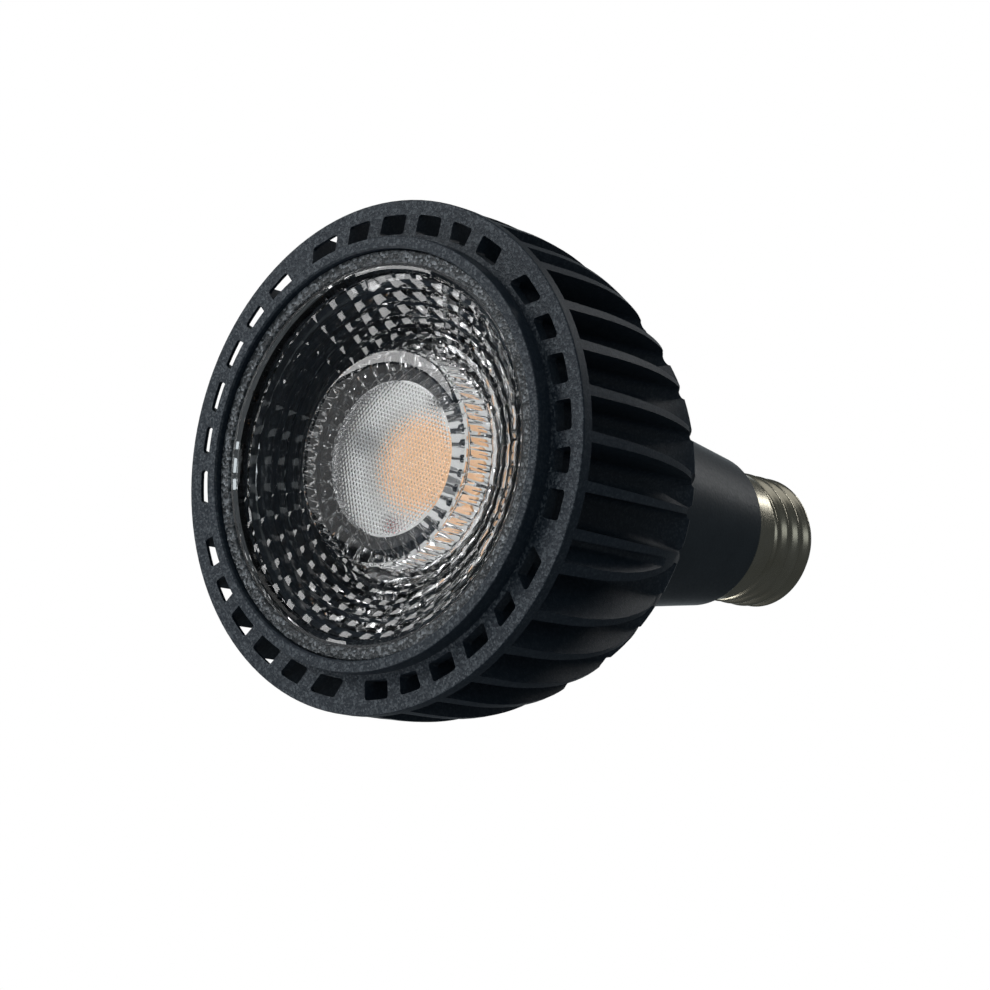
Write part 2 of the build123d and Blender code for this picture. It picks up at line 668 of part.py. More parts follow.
def choke():
    """A drum core with its winding between two flanges, standing on the board."""
    place = (1, CHOKE_X, BOARD_END_Z - CHOKE_BACK)
    body = can_up(CHOKE_R, CHOKE_H, *place)
    waist = can_up(CHOKE_R, CHOKE_H - 2 * CHOKE_FLANGE_T, *place) - can_up(CHOKE_WAIST_R, CHOKE_H, *place)
    return body - Pos(0, CHOKE_FLANGE_T, 0) * waist


def transformer_frame():
    """Place of the transformer: its middle height, its middle Y, and its width over the outer legs."""
    return BOARD_END_Z - CORE_BACK, BOARD_T / 2 + CORE_STAND, CORE_LEG_W + 2 * CORE_WINDOW_W


def transformer_core():
    """The two ferrite halves, joined in the middle, with a window each side of the centre leg."""
    z, y, inside = transformer_frame()
    half = CORE_WINDOW_H / 2
    outer = brick(inside + CORE_LEG_W, CORE_T, z - half - CORE_YOKE_H, z + half + CORE_YOKE_H, 0, y)
    for side in (-1, 1):
        middle = side * (CORE_LEG_W + CORE_WINDOW_W) / 2
        outer -= brick(CORE_WINDOW_W, CORE_T + 1, z - half, z + half, middle, y)
    return outer


def transformer_bobbin():
    """The moulded former round the centre leg, with its two pin rails on the board."""
    z, y, inside = transformer_frame()
    half = CORE_WINDOW_H / 2 - 0.1
    cheek = 0.7
    rail = 1.5
    former = brick(CORE_LEG_W + 1.2, CORE_T + 1.2, z - half, z + half, 0, y)
    for low in (z - half, z + half - cheek):
        former += brick(inside - 0.3, CORE_T + 4.4, low, low + cheek, 0, y)
        former += brick(inside - 0.3, rail, low, low + cheek, 0, (BOARD_T + rail) / 2)
    return former - brick(CORE_LEG_W + 0.2, CORE_T + 0.2, z - CORE_WINDOW_H, z + CORE_WINDOW_H, 0, y)


def transformer_winding():
    z, y, inside = transformer_frame()
    half = CORE_WINDOW_H / 2 - 0.85
    coil = brick(inside - 0.5, CORE_T + 4, z - half, z + half, 0, y)
    coil = fillet(coil.edges().filter_by(Axis.Z), 1.5)
    return coil - brick(CORE_LEG_W + 1.3, CORE_T + 1.3, z - half - 1, z + half + 1, 0, y)


def lead(*points):
    """An insulated lead along straight runs joined by tangent arcs."""
    path = FilletPolyline(*points, radius=LEAD_R * 6)
    start = Plane(origin=path @ 0, z_dir=path % 0)
    return sweep(start * Circle(LEAD_R), path=path)


def led_lead(side):
    """One lead from the chip holder through the pedestal to the board."""
    face = side * (BOARD_T / 2 + LEAD_R)
    far = side * WIRE_HOLE_AT
    start = PEDESTAL_Z - HOLDER_T + 0.8
    return lead(
        (0, far, start), (0, far, BOARD_Z + 1), (0, face, BOARD_Z + LED_LEAD_BEND),
        (0, face, BOARD_Z + LED_LEAD_END),
    )


def led_lead_red():
    return led_lead(1)


def led_lead_black():
    return led_lead(-1)


def shell_lead():
    """The lead from the board to the inside of the screw shell, past the end of the nose."""
    face = BOARD_T / 2 + LEAD_R
    wall = sqrt((THREAD_ROOT_R - SHELL_T - LEAD_R - FIT) ** 2 - face ** 2)
    nose_end = NECK_END_Z + NOSE_L
    return lead(
        (5.0, face, BOARD_END_Z - BASE_LEAD_END), (5.0, face, nose_end - 1), (wall, face, nose_end + 5),
        (wall, face, nose_end + 9),
    )


def contact_lead():
    """The lead from the board to the centre contact."""
    face = -BOARD_T / 2 - LEAD_R
    contact_z = SHELL_END_Z + INSULATOR_L - CONTACT_STEM_L
    return lead(
        (-4.0, face, BOARD_END_Z - BASE_LEAD_END), (-4.0, face, BOARD_END_Z + 6), (0, 0, contact_z - 5),
        (0, 0, contact_z),
    )


PARTS = {
    "heat_sink": heat_sink,
    "lens_ring": lens_ring,
    "front_lens": front_lens,
    "thermal_pad": thermal_pad,
    "cob_board": cob_board,
    "cob_phosphor": cob_phosphor,
    "cob_holder": cob_holder,
    "holder_screws": holder_screws,
    "housing_screws": housing_screws,
    "driver_housing": driver_housing,
    "screw_shell": screw_shell,
    "base_insulator": base_insulator,
    "centre_contact": centre_contact,
    "driver_board": driver_board,
    "transformer_core": transformer_core,
    "transformer_bobbin": transformer_bobbin,
    "transformer_winding": transformer_winding,
    "input_capacitor": input_capacitor,
    "output_capacitor": output_capacitor,
    "output_diode": output_diode,
    "control_chip": control_chip,
    "film_capacitor": film_capacitor,
    "varistor": varistor,
    "bridge_rectifier": bridge_rectifier,
    "fuse_resistor": fuse_resistor,
    "choke": choke,
    "led_lead_red": led_lead_red,
    "led_lead_black": led_lead_black,
    "shell_lead": shell_lead,
    "contact_lead": contact_lead,
}


def main():
    os.makedirs("parts", exist_ok=True)
    for name, make in PARTS.items():
        made = make()
        shape = Compound(children=made) if isinstance(made, list) else made
        export_step(shape, f"parts/{name}.step")


main()
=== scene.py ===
"""Looks of the LED grow lamp: finishes, the clear lens, the rolled thread, and the studio.

Metres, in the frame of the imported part. Z = 0 is the front face of the bezel, +Z runs back
along the lamp axis, and +X passes through the middle of a wide bridge of the flange.
"""

from math import cos, pi, radians, sin, sqrt

import bpy
import numpy as np
from mathutils import Matrix, Vector
from mathutils.geometry import delaunay_2d_cdt


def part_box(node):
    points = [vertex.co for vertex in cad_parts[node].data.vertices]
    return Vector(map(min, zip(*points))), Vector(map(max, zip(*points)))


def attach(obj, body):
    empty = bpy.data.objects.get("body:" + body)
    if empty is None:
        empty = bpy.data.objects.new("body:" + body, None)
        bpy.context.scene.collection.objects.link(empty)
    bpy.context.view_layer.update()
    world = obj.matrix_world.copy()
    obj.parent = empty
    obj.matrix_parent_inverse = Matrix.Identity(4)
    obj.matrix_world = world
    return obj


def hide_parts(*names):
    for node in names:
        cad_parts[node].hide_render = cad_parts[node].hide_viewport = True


MM = 0.001

# Camera: where the photograph was taken from, as a place, the picture's axes and a focal length
CAMERA_AT = Vector((0.52824, -0.08760, -0.58078))
CAMERA_RIGHT = Vector((0.68921, -0.34225, 0.63865))
CAMERA_UP = Vector((-0.32880, -0.93316, -0.14524))
CAMERA_BACK = Vector((0.64568, -0.10993, -0.75567))
FOCAL_MM = 158.24
SENSOR_MM = 36.0

# Studio: cosines with the view below which a mirrored ray sees the room, and above which the backdrop,
# the levels of room and ambient light, and the tint of what the camera doesn't see directly
BACKDROP_FROM = 0.90
BACKDROP_FULL = 0.985
ROOM_LEVEL = 0.06
AMBIENT = 0.30
ROOM_TINT = (0.86, 0.95, 1.0)
WHITE = (1.0, 1.0, 1.0)

# Soft boxes: right, up and back from the lamp in metres, width, height, watts and colour
SOFTBOXES = {
    "left_high_box": (-0.75, 0.50, 0.05, 0.4, 0.46, 2.9, WHITE),
    "left_low_box": (-0.75, -0.42, 0.05, 0.4, 0.40, 2.4, WHITE),
    "puck_glow": (-0.75, 0.17, 0.12, 0.3, 0.16, 0.09, WHITE),
    "front_box": (0.05, 0.28, 0.9, 0.8, 0.25, 0.42, (0.9, 0.97, 1.0)),
    "top_box": (0.0, 0.75, 0.15, 0.6, 0.4, 0.4, WHITE),
    "rear_strip": (0.6, 0.45, -0.45, 0.12, 0.6, 0.9, WHITE),
}

# Clear lens, in millimetres
SEAT_R = 37.75
SEAT_BACK_Z = 5.3
SEAT_FRONT_Z = 3.3
EDGE_R = 35.35
EDGE_Z = 1.6
BOWL_R = 33.6
BOWL_Z = 3.2
BOWL_SLOPE = 0.606
BOWL_FACETS = 44
BOWL_ROWS = 6
BOWL_STEP = 0.1
BOWL_T = 3.0
ROW_GAP = 0.01
PILLOW_ALONG = 0.42
PILLOW_ACROSS = 0.7
PILLOW_STEPS = 8
PUCK_R = 20.1
PUCK_Z = 4.1
PUCK_ROUND = 0.8
PUCK_FLUTES = 54
MICRO_R = 14.5
MICRO_Z = 8.6
MICRO_PITCH = 0.83
MICRO_BEARING = 24.3
MICRO_DEPTH = 0.13
MICRO_GRID = 0.13
BLOCKS = 36
BLOCK_DEPTH = 0.9
FOOT_DIP = 1.1
FLUTE_DEPTH = 0.45
BACK_R = 34.3
BACK_GROOVES = 10
BACK_DIP = 0.35
FOOT_Z = 15.5
FOOT_IN_R = 17.4
FOOT_OUT_R = 20.6

# Screw shell, in millimetres
SHELL_T = 0.35
COLLAR_R = 13.0
COLLAR_L = 7.1
COLLAR_STEP = 1.0
THREAD_R = 13.15
ROOT_R = 11.95
PITCH = 3.629
THREAD_PHASE = 1.16
THREAD_END = 1.2
THREAD_FADE = 1.5
CREST_POWER = 1.3
SHELL_END_R = 10.2
CURL_L = 1.6

# Plain finishes: two colours that mottle into each other, roughness, and what differs from the defaults
MOULDED = {
    "grey_pad": dict(colour=(0.30, 0.31, 0.33), second=(0.35, 0.36, 0.38), roughness=0.7),
    "chip_base": dict(
        colour=(0.75, 0.76, 0.74), second=(0.80, 0.80, 0.78), roughness=0.4,
        metallic=0.6,
    ),
    # The holder is white plastic. Its colour is painted greyer here as painted shade from the lens over
    # it, which casts no shadow.
    "white_moulding": dict(colour=(0.66, 0.66, 0.65), second=(0.72, 0.72, 0.71), roughness=0.45),
    "zinc_screw": dict(
        colour=(0.55, 0.56, 0.57), second=(0.65, 0.66, 0.67), roughness=0.3,
        metallic=1.0,
    ),
    "neck_plastic": dict(
        colour=(0.014, 0.021, 0.028), second=(0.018, 0.026, 0.033), roughness=0.42,
        grain=1600.0, depth=0.03,
    ),
    "black_glass": dict(
        colour=(0.006, 0.006, 0.008), second=(0.009, 0.009, 0.011), roughness=0.12,
        grain=500.0, depth=0.01,
    ),
    "solder": dict(
        colour=(0.52, 0.52, 0.50), second=(0.62, 0.62, 0.60), roughness=0.32,
        grain=500.0, depth=0.03, metallic=1.0,
    ),
    "board_green": dict(colour=(0.02, 0.16, 0.06), second=(0.03, 0.20, 0.08), roughness=0.35),
    "ferrite": dict(colour=(0.045, 0.045, 0.05), second=(0.06, 0.06, 0.065), roughness=0.6),
    "black_moulding": dict(colour=(0.012, 0.012, 0.013), second=(0.018, 0.018, 0.02), roughness=0.4),
    "copper_winding": dict(
        colour=(0.72, 0.30, 0.12), second=(0.80, 0.38, 0.18), roughness=0.3,
        metallic=0.9,
    ),
    "can_sleeve": dict(colour=(0.02, 0.03, 0.08), second=(0.03, 0.04, 0.10), roughness=0.3),
    "film_box": dict(colour=(0.55, 0.08, 0.04), second=(0.62, 0.10, 0.05), roughness=0.35),
    "blue_coat": dict(colour=(0.03, 0.10, 0.42), second=(0.04, 0.13, 0.50), roughness=0.4),
    "resistor_coat": dict(colour=(0.22, 0.40, 0.35), second=(0.26, 0.45, 0.40), roughness=0.5),
    "red_insulation": dict(colour=(0.55, 0.02, 0.02), second=(0.62, 0.03, 0.03), roughness=0.4),
    "black_insulation": dict(colour=(0.012, 0.012, 0.012), second=(0.02, 0.02, 0.02), roughness=0.4),
}


def shader(name):
    """A new node material: its nodes, links and Principled shader."""
    mat = bpy.data.materials.new(name)
    mat.use_nodes = True
    tree = mat.node_tree
    return mat, tree, tree.nodes["Principled BSDF"]


def coordinates(tree):
    return tree.nodes.new("ShaderNodeTexCoord").outputs["Object"]


def noise(tree, scale, detail=2.0, rough=0.5, at=None):
    node = tree.nodes.new("ShaderNodeTexNoise")
    node.inputs["Scale"].default_value = scale
    node.inputs["Detail"].default_value = detail
    node.inputs["Roughness"].default_value = rough
    tree.links.new(at or coordinates(tree), node.inputs["Vector"])
    return node.outputs["Fac"]


def spread(tree, value, low, high, to_low=0.0, to_high=1.0):
    """The value mapped from one range to another, clamped."""
    node = tree.nodes.new("ShaderNodeMapRange")
    node.inputs["From Min"].default_value = low
    node.inputs["From Max"].default_value = high
    node.inputs["To Min"].default_value = to_low
    node.inputs["To Max"].default_value = to_high
    tree.links.new(value, node.inputs["Value"])
    return node.outputs["Result"]


def calc(tree, operation, a, b):
    node = tree.nodes.new("ShaderNodeMath")
    node.operation = operation
    for socket, value in zip(node.inputs, (a, b)):
        if isinstance(value, (int, float)):
            socket.default_value = value
        else:
            tree.links.new(value, socket)
    return node.outputs["Value"]


def blend_colour(tree, factor, first, second):
    node = tree.nodes.new("ShaderNodeMix")
    node.data_type = "RGBA"
    tree.links.new(factor, node.inputs["Factor"])
    for socket, value in ((node.inputs["A"], first), (node.inputs["B"], second)):
        if isinstance(value, tuple):
            socket.default_value = (*value, 1.0)
        else:
            tree.links.new(value, socket)
    return node.outputs["Result"]


def bump(tree, bsdf, height, distance):
    node = tree.nodes.new("ShaderNodeBump")
    node.inputs["Distance"].default_value = distance
    node.inputs["Strength"].default_value = 1.0
    tree.links.new(height, node.inputs["Height"])
    tree.links.new(node.outputs["Normal"], bsdf.inputs["Normal"])


def paint(piece, mat):
    """Gives a CAD node or a new piece one finish all over."""
    if not piece.data.materials:
        piece.data.materials.append(mat)
    for place in piece.material_slots:
        place.material = mat


def moulded(name, colour, second, roughness, grain=1800.0, depth=0.02, metallic=0.0):
    """A finish with mottled colour and roughness and a fine grain: plastics, coatings, metals."""
    mat, tree, bsdf = shader(name)
    mottle = spread(tree, noise(tree, grain / 12, 4.0), 0.35, 0.65)
    tree.links.new(blend_colour(tree, mottle, colour, second), bsdf.inputs["Base Color"])
    fine = noise(tree, grain, 3.0)
    tree.links.new(
        spread(tree, fine, 0.3, 0.7, roughness * 0.88, roughness * 1.12),
        bsdf.inputs["Roughness"],
    )
    bsdf.inputs["Metallic"].default_value = metallic
    bump(tree, bsdf, fine, depth * MM)
    return mat


def grains(tree, scale):
    """Small grains: how far a point lies from the middle of its grain, and a value for each grain."""
    node = tree.nodes.new("ShaderNodeTexVoronoi")
    node.inputs["Scale"].default_value = scale
    tree.links.new(coordinates(tree), node.inputs["Vector"])
    split = tree.nodes.new("ShaderNodeSeparateColor")
    tree.links.new(node.outputs["Color"], split.inputs["Color"])
    return node.outputs["Distance"], split.outputs["Red"]


def powder_coat():
    """Satin black coat on the casting: a sandy grain on the front faces, finer elsewhere."""
    mat, tree, bsdf = shader("powder_coat")
    cell, speck = grains(tree, 2700.0)
    geometry = tree.nodes.new("ShaderNodeNewGeometry")
    split = tree.nodes.new("ShaderNodeSeparateXYZ")
    tree.links.new(geometry.outputs["True Normal"], split.inputs["Vector"])
    front = spread(tree, split.outputs["Z"], -0.9, -0.6, 1.0, 0.25)
    fine = noise(tree, 5200.0, 2.0)
    tint = calc(tree, "MULTIPLY", calc(tree, "POWER", speck, 2.5), front)
    tree.links.new(
        blend_colour(tree, tint, (0.0085, 0.0165, 0.0270), (0.085, 0.100, 0.115)),
        bsdf.inputs["Base Color"],
    )
    tree.links.new(spread(tree, fine, 0.3, 0.7, 0.44, 0.58), bsdf.inputs["Roughness"])
    bsdf.inputs["Specular IOR Level"].default_value = 0.35
    height = calc(tree, "MULTIPLY", calc(tree, "ADD", cell, fine), front)
    bump(tree, bsdf, height, 0.07 * MM)
    return mat


def ring_grain():
    """The ring round the lens: the same black with a coarse, sparkling texture."""
    mat, tree, bsdf = shader("ring_grain")
    cell, speck = grains(tree, 2100.0)
    tree.links.new(
        blend_colour(tree, calc(tree, "POWER", speck, 3.0), (0.008, 0.013, 0.017), (0.24, 0.26, 0.28)),
        bsdf.inputs["Base Color"],
    )
    tree.links.new(spread(tree, speck, 0.0, 1.0, 0.5, 0.28), bsdf.inputs["Roughness"])
    bump(tree, bsdf, cell, 0.16 * MM)
    return mat


def clear_lens():
    """Clear moulded plastic, with the faintest waviness of the mould's polish."""
    mat, tree, bsdf = shader("clear_lens")
    bsdf.inputs["Base Color"].default_value = (0.97, 0.98, 0.99, 1)
    bsdf.inputs["Transmission Weight"].default_value = 1.0
    bsdf.inputs["IOR"].default_value = 1.57
    bsdf.inputs["Roughness"].default_value = 0.02
    bump(tree, bsdf, noise(tree, 400.0, 2.0), 0.004 * MM)
    return mat


def nickel_brass():
    """Satin nickel on brass, drawn and rolled: fine rings round the axis and a warm grey."""
    mat, tree, bsdf = shader("nickel_brass")
    stretch = tree.nodes.new("ShaderNodeMapping")
    stretch.inputs["Scale"].default_value = (0.2, 0.2, 6.0)
    tree.links.new(coordinates(tree), stretch.inputs["Vector"])
    rings = noise(tree, 900.0, 3.0, at=stretch.outputs["Vector"])
    cloud = noise(tree, 160.0, 4.0)
    tree.links.new(
        blend_colour(tree, spread(tree, cloud, 0.3, 0.7), (0.54, 0.50, 0.39), (0.64, 0.60, 0.49)),
        bsdf.inputs["Base Color"],
    )
    bsdf.inputs["Metallic"].default_value = 1.0
    tree.links.new(spread(tree, rings, 0.3, 0.7, 0.20, 0.29), bsdf.inputs["Roughness"])
    bump(tree, bsdf, rings, 0.006 * MM)
    return mat


def phosphor():
    """The silicone over the chips: warm orange, slightly glossy."""
    mat, tree, bsdf = shader("phosphor")
    grain = noise(tree, 1500.0, 3.0)
    tree.links.new(
        blend_colour(tree, spread(tree, grain, 0.3, 0.7), (0.93, 0.50, 0.24), (0.98, 0.60, 0.32)),
        bsdf.inputs["Base Color"],
    )
    bsdf.inputs["Roughness"].default_value = 0.35
    bump(tree, bsdf, grain, 0.01 * MM)
    return mat


def finishes():
    """One finish for each material slot of the record."""
    coats = {name: moulded(name, **values) for name, values in MOULDED.items()}
    coats["powder_coat"] = powder_coat()
    coats["ring_grain"] = ring_grain()
    coats["clear_lens"] = clear_lens()
    coats["phosphor"] = phosphor()
    coats["nickel_brass"] = nickel_brass()
    return coats


def mesh_piece(name, points, faces, smooth=True):
    mesh = bpy.data.meshes.new(name)
    mesh.from_pydata(points, [], faces)
    mesh.validate()
    mesh.update()
    if smooth:
        mesh.polygons.foreach_set("use_smooth", [True] * len(mesh.polygons))
    piece = bpy.data.objects.new(name, mesh)
    bpy.context.scene.collection.objects.link(piece)
    return piece


def ring_faces(count, around, closed=False):
    """Faces between neighbouring rings of points; closed joins the last ring to the first."""
    faces = []
    for ring in range(count if closed else count - 1):
        low = ring * around
        high = ((ring + 1) % count) * around
        for step in range(around):
            beside = (step + 1) % around
            faces.append((low + step, low + beside, high + beside, high + step))
    return faces


def bearings(around):
    return np.arange(around) * 2 * pi / around


def circle_rings(stations, around):
    """Plain circles at (radius, height) stations, in millimetres."""
    turn = bearings(around)
    return np.array([
        np.column_stack([r * np.cos(turn), r * np.sin(turn), np.full(around, z)]) for r, z in stations
    ])


def facet_rings(around):
    """Rings of the faceted bowl, from the puck outwards: pillows in rows with a riser after each."""
    turn = bearings(around)
    pitch = (BOWL_R - PUCK_R) / BOWL_ROWS
    column = turn * BOWL_FACETS / (2 * pi)
    across = 2 * (column - np.floor(column)) - 1
    rings = []
    for row in reversed(range(BOWL_ROWS)):
        outer_r = BOWL_R - pitch * row
        for step in range(PILLOW_STEPS + 1):
            along = 2 * step / PILLOW_STEPS - 1
            r = outer_r - pitch * (1 - (1 + along) / 2) - ROW_GAP * along
            slope_z = BOWL_Z + (BOWL_R - r) * BOWL_SLOPE + BOWL_STEP / 2 * along
            swell = PILLOW_ALONG / 2 * (1 - along ** 2)
            z = slope_z - swell - PILLOW_ACROSS / 2 * r / BOWL_R * (1 - across ** 2)
            rings.append(np.column_stack([r * np.cos(turn), r * np.sin(turn), z]))
    return rings


def fluted_ring(radius, z, around, count, depth):
    """A ring whose radius dips by a depth in a number of round flutes."""
    turn = bearings(around)
    r = radius - depth * np.abs(np.sin(turn * count / 2))
    return np.column_stack([r * np.cos(turn), r * np.sin(turn), np.full(around, z)])


def micro_lenses(rim, first):
    """The honeycomb of small lenses inside a rim of points: new points and the faces that join them."""
    step = MICRO_GRID
    lines = np.arange(-MICRO_R, MICRO_R, step)
    x, y = np.meshgrid(lines, lines)
    x[1::2] += step / 2
    inside = np.hypot(x, y) < MICRO_R - step
    x, y = x[inside], y[inside]
    wave = 2 * pi / (MICRO_PITCH * sqrt(3) / 2)
    angles = [radians(MICRO_BEARING + third) for third in (0, 60, 120)]
    height = sum(np.cos(wave * (x * cos(angle) + y * sin(angle))) for angle in angles)
    fade = np.clip((MICRO_R - np.hypot(x, y)) / MICRO_PITCH, 0, 1)
    z = MICRO_Z - MICRO_DEPTH * (height + 1.5) / 4.5 * fade
    flat = [Vector((*point[:2],)) for point in rim] + [Vector(point) for point in zip(x, y)]
    edge = [(n, (n + 1) % len(rim)) for n in range(len(rim))]
    made = delaunay_2d_cdt(flat, edge, [], 0, 1e-6)
    assert len(made[0]) == len(flat)
    names = list(range(first - len(rim), first)) + list(range(first, first + len(x)))
    faces = [tuple(names[made[3][corner][0]] for corner in face) for face in made[2]]
    return np.column_stack([x, y, z]), faces


def clear_lens_piece():
    """The whole moulding as one closed skin, from the puck's face round the rim to the micro lenses."""
    around = BOWL_FACETS * 12
    rings = [circle_rings([(r, PUCK_Z)], around)[0] for r in np.linspace(0.5, PUCK_R - PUCK_ROUND, 6)]
    for step in range(1, 5):
        angle = step / 4 * pi / 2
        rings += list(circle_rings([
            (PUCK_R - PUCK_ROUND + PUCK_ROUND * sin(angle), PUCK_Z + PUCK_ROUND - PUCK_ROUND * cos(angle)),
        ], around))
    foot_z = BOWL_Z + (BOWL_R - PUCK_R) * BOWL_SLOPE
    for z in np.linspace(PUCK_Z + PUCK_ROUND + 0.4, foot_z, 4):
        rings.append(fluted_ring(PUCK_R, z, around, PUCK_FLUTES, FLUTE_DEPTH))
    rings += facet_rings(around)
    back_z = BOWL_Z + BOWL_T
    rings += list(circle_rings([
        (BOWL_R + 0.25, BOWL_Z - 0.75), (BOWL_R + 0.75, BOWL_Z - 1.25), (BOWL_R + 1.3, EDGE_Z + 0.05),
        (EDGE_R, EDGE_Z), (EDGE_R, SEAT_FRONT_Z), (SEAT_R, SEAT_FRONT_Z), (SEAT_R, SEAT_BACK_Z),
        (BACK_R, SEAT_BACK_Z), (BACK_R, back_z + (BOWL_R - BACK_R) * BOWL_SLOPE),
    ], around))
    groove = (BOWL_R - FOOT_OUT_R) / BACK_GROOVES
    for step in range(2 * BACK_GROOVES):
        radius = BOWL_R - groove * step / 2
        dip = BACK_DIP * (step % 2)
        rings += list(circle_rings([(radius, back_z + (BOWL_R - radius) * BOWL_SLOPE - dip)], around))
    rings += list(circle_rings([
        (FOOT_OUT_R, back_z + (BOWL_R - FOOT_OUT_R) * BOWL_SLOPE), (FOOT_OUT_R, FOOT_Z),
    ], around))
    turn = bearings(around)
    for share in (0.2, 0.5, 0.8):
        ring = circle_rings([(FOOT_OUT_R + (FOOT_IN_R - FOOT_OUT_R) * share, FOOT_Z)], around)[0]
        ring[:, 2] -= FOOT_DIP * sin(pi * share) * np.abs(np.sin(turn * BLOCKS / 2))
        rings.append(ring)
    for step in range(5):
        share = step / 4
        radius = FOOT_IN_R + (MICRO_R - FOOT_IN_R) * share
        dip = BLOCK_DEPTH * sin(pi * share) if 0 < step < 4 else 0
        rings.append(fluted_ring(radius, FOOT_Z + (MICRO_Z - FOOT_Z) * share, around, BLOCKS, -dip))
    rings = np.array(rings)
    points = rings.reshape(-1, 3)
    faces = ring_faces(len(rings), around)
    extra, patch = micro_lenses(rings[-1], len(points))
    hub = len(points) + len(extra)
    points = np.vstack([points, extra, rings[0].mean(axis=0)])
    faces += patch
    faces += [(hub, (step + 1) % around, step) for step in range(around)]
    piece = mesh_piece("clear_lens", (points * MM).tolist(), faces)
    piece.data.set_sharp_from_angle(angle=radians(16))
    piece.visible_shadow = False
    return piece


def thread_radius(turn, z, front_z, end_z):
    """Outer radius of the rolled shell at a bearing and a height, in millimetres."""
    wave = 0.5 + 0.5 * np.cos(2 * pi * ((z - front_z) / PITCH - THREAD_PHASE) - turn)
    fade_in = np.clip((z - front_z - COLLAR_L) / COLLAR_STEP, 0, 1)
    fade_out = np.clip((end_z - THREAD_END - z) / THREAD_FADE, 0, 1)
    return ROOT_R + (THREAD_R - ROOT_R) * wave ** CREST_POWER * fade_in * fade_out


def screw_shell_piece():
    """The rolled shell with its rounded thread, a plain collar and the curled-in end."""
    low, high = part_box("screw_shell")
    front_z, end_z = low.z / MM, high.z / MM
    around = 180
    turn = bearings(around)
    heights = np.linspace(front_z, end_z - CURL_L, 150)
    outer = []
    for z in heights:
        collar = 1 - np.clip((z - front_z - COLLAR_L + COLLAR_STEP / 2) / COLLAR_STEP, 0, 1)
        r = np.maximum(thread_radius(turn, z, front_z, end_z), ROOT_R + (COLLAR_R - ROOT_R) * collar)
        outer.append(np.column_stack([r * np.cos(turn), r * np.sin(turn), np.full(around, z)]))
    for step in range(1, 7):
        angle = step / 6 * pi / 2
        r = SHELL_END_R + (ROOT_R - SHELL_END_R) * cos(angle)
        z = end_z - CURL_L + CURL_L * sin(angle)
        outer.append(np.column_stack([r * np.cos(turn), r * np.sin(turn), np.full(around, z)]))
    outer = np.array(outer)
    inner = outer[::-1].copy()
    radius = np.hypot(inner[..., 0], inner[..., 1])
    inner[..., :2] *= ((radius - SHELL_T) / radius)[..., None]
    inner[0, :, 2] -= SHELL_T
    rings = np.vstack([outer, inner])
    points = (rings.reshape(-1, 3) * MM).tolist()
    return mesh_piece("rolled_shell", points, ring_faces(len(rings), around, closed=True))


def camera():
    data = bpy.data.cameras.new("camera")
    data.lens = FOCAL_MM
    data.sensor_width = SENSOR_MM
    data.clip_start = 0.01
    data.clip_end = 20
    cam = bpy.data.objects.new("camera", data)
    columns = Matrix((CAMERA_RIGHT, CAMERA_UP, CAMERA_BACK)).transposed().to_4x4()
    cam.matrix_world = Matrix.Translation(CAMERA_AT) @ columns
    bpy.context.scene.collection.objects.link(cam)
    bpy.context.scene.camera = cam


def softbox(name, right, up, back, width, height, watts, colour):
    """An area lamp placed by the picture's axes, metres from the object, that faces it."""
    aim = Vector((0, 0, 0.04))
    data = bpy.data.lights.new(name, "AREA")
    data.shape = "RECTANGLE"
    data.size = width
    data.size_y = height
    data.energy = watts
    data.color = colour
    lamp = bpy.data.objects.new(name, data)
    offset = CAMERA_RIGHT * right + CAMERA_UP * up + CAMERA_BACK * back
    outward = offset.normalized()
    across = CAMERA_UP.cross(outward)
    if across.length < 0.5:
        across = CAMERA_RIGHT.copy()
    across.normalize()
    columns = Matrix((across, outward.cross(across), outward)).transposed().to_4x4()
    lamp.matrix_world = Matrix.Translation(aim + offset) @ columns
    bpy.context.scene.collection.objects.link(lamp)


def studio():
    """White backdrop, a dark room on the camera's side, and soft boxes."""
    world = bpy.data.worlds.new("studio")
    bpy.context.scene.world = world
    world.use_nodes = True
    tree = world.node_tree
    background = tree.nodes["Background"]
    paths = tree.nodes.new("ShaderNodeLightPath")
    direction = tree.nodes.new("ShaderNodeTexCoord").outputs["Generated"]
    facing = tree.nodes.new("ShaderNodeVectorMath")
    facing.operation = "DOT_PRODUCT"
    facing.inputs[1].default_value = -CAMERA_BACK
    tree.links.new(direction, facing.inputs[0])
    backdrop = spread(tree, facing.outputs["Value"], BACKDROP_FROM, BACKDROP_FULL, ROOM_LEVEL, 1.0)
    mirror = calc(tree, "MAXIMUM", paths.outputs["Is Glossy Ray"], paths.outputs["Is Transmission Ray"])
    seen = calc(tree, "MULTIPLY", mirror, backdrop)
    ambient = calc(tree, "MULTIPLY", calc(tree, "SUBTRACT", 1.0, mirror), AMBIENT)
    level = calc(tree, "MAXIMUM", calc(tree, "ADD", seen, ambient), paths.outputs["Is Camera Ray"])
    tree.links.new(
        blend_colour(tree, paths.outputs["Is Camera Ray"], ROOM_TINT, WHITE),
        background.inputs["Color"],
    )
    tree.links.new(level, background.inputs["Strength"])

    for name, values in SOFTBOXES.items():
        softbox(name, *values)


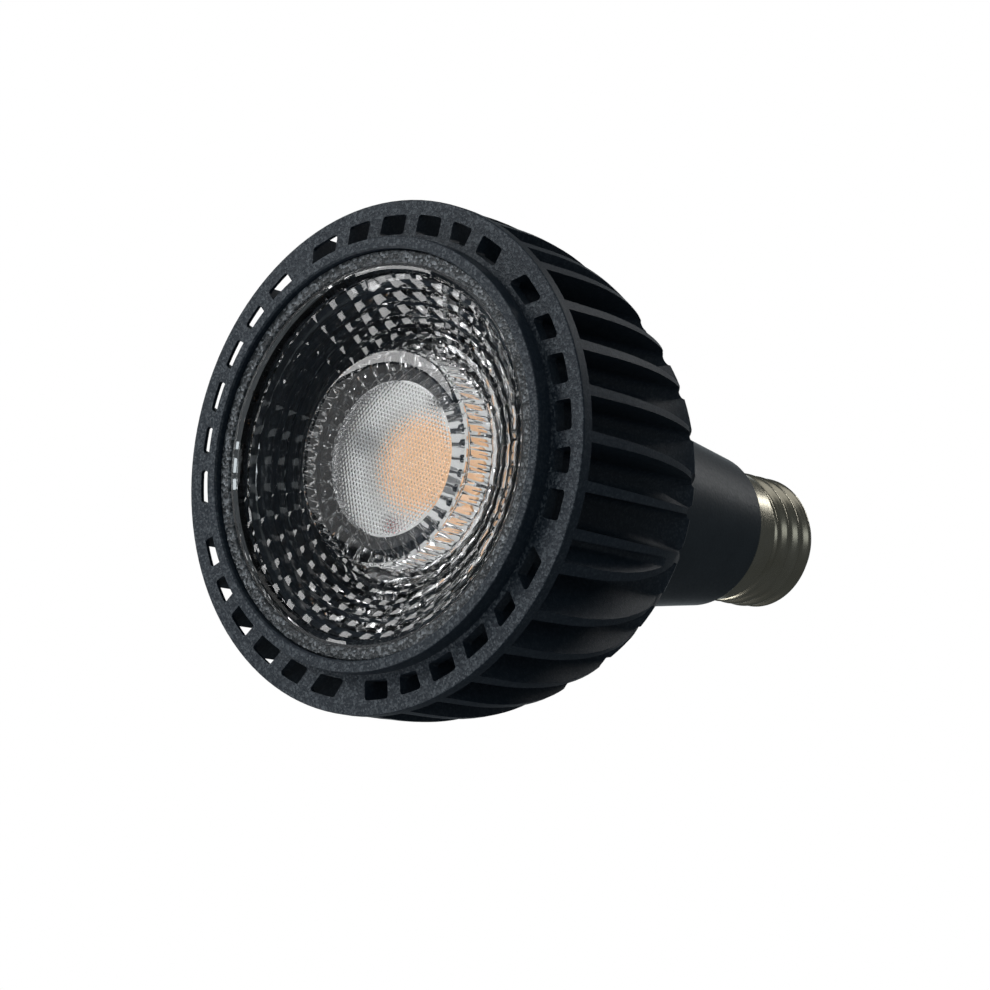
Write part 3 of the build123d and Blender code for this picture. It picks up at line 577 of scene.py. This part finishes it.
def floor():
    """The table the lamp stands on, seen from above only, so that it never hides the face."""
    side = 3.0
    piece = mesh_piece("floor", [
        (-side, -side, -0.0002), (side, -side, -0.0002), (side, side, -0.0002), (-side, side, -0.0002),
    ], [(0, 1, 2, 3)], smooth=False)
    mat, tree, bsdf = shader("floor_white")
    bsdf.inputs["Base Color"].default_value = (0.82, 0.82, 0.82, 1)
    bsdf.inputs["Roughness"].default_value = 0.9
    clear = tree.nodes.new("ShaderNodeBsdfTransparent")
    geometry = tree.nodes.new("ShaderNodeNewGeometry")
    mix = tree.nodes.new("ShaderNodeMixShader")
    tree.links.new(geometry.outputs["Backfacing"], mix.inputs["Fac"])
    tree.links.new(bsdf.outputs["BSDF"], mix.inputs[1])
    tree.links.new(clear.outputs["BSDF"], mix.inputs[2])
    tree.links.new(mix.outputs["Shader"], tree.nodes["Material Output"].inputs["Surface"])
    piece.data.materials.append(mat)
    piece.visible_shadow = False
    piece.visible_diffuse = False
    piece.visible_glossy = False
    piece.visible_transmission = False


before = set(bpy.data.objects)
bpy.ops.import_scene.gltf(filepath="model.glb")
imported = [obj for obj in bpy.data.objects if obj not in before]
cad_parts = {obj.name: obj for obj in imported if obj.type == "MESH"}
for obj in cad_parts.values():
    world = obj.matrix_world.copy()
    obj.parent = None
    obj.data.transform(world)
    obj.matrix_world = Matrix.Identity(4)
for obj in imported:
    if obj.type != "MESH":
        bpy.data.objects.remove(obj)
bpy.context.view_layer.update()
bpy.context.scene.view_settings.view_transform = "Standard"
camera()
coats = finishes()

NODE_SLOTS = {
    "heat_sink": "powder_coat",
    "lens_ring": "ring_grain",
    "thermal_pad": "grey_pad",
    "cob_board": "chip_base",
    "cob_phosphor": "phosphor",
    "cob_holder": "white_moulding",
    "holder_screws": "zinc_screw",
    "housing_screws": "zinc_screw",
    "driver_housing": "neck_plastic",
    "base_insulator": "black_glass",
    "centre_contact": "solder",
    "driver_board": "board_green",
    "transformer_core": "ferrite",
    "transformer_bobbin": "black_moulding",
    "transformer_winding": "copper_winding",
    "input_capacitor": "can_sleeve",
    "output_capacitor": "can_sleeve",
    "output_diode": "black_moulding",
    "control_chip": "black_moulding",
    "film_capacitor": "film_box",
    "varistor": "blue_coat",
    "bridge_rectifier": "black_moulding",
    "fuse_resistor": "resistor_coat",
    "choke": "ferrite",
    "led_lead_red": "red_insulation",
    "led_lead_black": "black_insulation",
    "shell_lead": "black_insulation",
    "contact_lead": "red_insulation",
}
for node, slot in NODE_SLOTS.items():
    paint(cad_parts[node], coats[slot])

lens = clear_lens_piece()
paint(lens, coats["clear_lens"])
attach(lens, "root")
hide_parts("front_lens")

shell = screw_shell_piece()
paint(shell, coats["nickel_brass"])
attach(shell, "root")
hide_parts("screw_shell")

studio()
floor()
